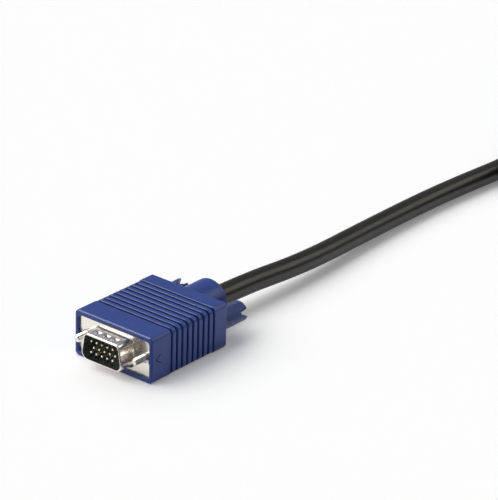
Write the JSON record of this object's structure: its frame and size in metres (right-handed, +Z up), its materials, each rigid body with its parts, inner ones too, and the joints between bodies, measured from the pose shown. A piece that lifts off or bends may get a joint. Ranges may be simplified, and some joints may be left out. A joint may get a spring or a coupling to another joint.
{
  "type": "kvm cable",
  "caption": "Round black monitor and keyboard switch cable with a ribbed blue moulded D plug, slotted thumbscrews and a tied hank of slack.",
  "frame": {"origin": "middle of the near plug's underside, under the middle of its box", "axes": "+Z up, +Y from the contacts towards the cable, +X to the right seen from the contacts' side with the wide side of the D down"},
  "size_m": [0.075, 0.3553, 0.032],
  "materials": {
    "hood_blue": "satin PVC",
    "knob_blue": "satin PVC",
    "inner_white": "plain",
    "nickel": "nickel plated",
    "insulator_black": "matte",
    "pin_gold": "gold flash",
    "wires": "insulated wires",
    "copper": "bare copper",
    "screw_steel": "nickel plated",
    "jacket_black": "satin PVC",
    "tie_black": "hook and loop"
  },
  "bodies": {
    "cable": {"near_hood": "hood_blue", "near_inner_mould": "inner_white", "near_face_shell": "nickel", "near_back_shell": "nickel", "near_insulator": "insulator_black", "near_pins": "pin_gold", "near_wire_bundle": "wires", "near_braid_ferrule": "copper", "far_hood": "hood_blue", "far_inner_mould": "inner_white", "far_face_shell": "nickel", "far_back_shell": "nickel", "far_insulator": "insulator_black", "far_pins": "pin_gold", "far_wire_bundle": "wires", "far_braid_ferrule": "copper", "cord_run": "jacket_black", "cord_hank": "jacket_black", "cord_tail": "jacket_black", "left_tie": "tie_black", "right_tie": "tie_black"},
    "near_left_thumbscrew": {"near_left_screw": "screw_steel", "near_left_knob": "knob_blue"},
    "near_right_thumbscrew": {"near_right_screw": "screw_steel", "near_right_knob": "knob_blue"},
    "far_left_thumbscrew": {"far_left_screw": "screw_steel", "far_left_knob": "knob_blue"},
    "far_right_thumbscrew": {"far_right_screw": "screw_steel", "far_right_knob": "knob_blue"}
  },
  "joints": [
    {"name": "near_left_thumbscrew_turn", "type": "hinge", "parent": "cable", "child": "near_left_thumbscrew", "pos_m": [-0.01249, 0.02104, 0.0082], "axis": [0, 1, 0], "continuous": true},
    {"name": "near_right_thumbscrew_turn", "type": "hinge", "parent": "cable", "child": "near_right_thumbscrew", "pos_m": [0.01249, 0.02104, 0.0082], "axis": [0, 1, 0], "continuous": true},
    {"name": "far_left_thumbscrew_turn", "type": "hinge", "parent": "cable", "child": "far_left_thumbscrew", "pos_m": [0.01299, 0.26202, 0.02375], "axis": [0, -1, 0], "continuous": true},
    {"name": "far_right_thumbscrew_turn", "type": "hinge", "parent": "cable", "child": "far_right_thumbscrew", "pos_m": [-0.01199, 0.26202, 0.02375], "axis": [0, -1, 0], "continuous": true}
  ]
}
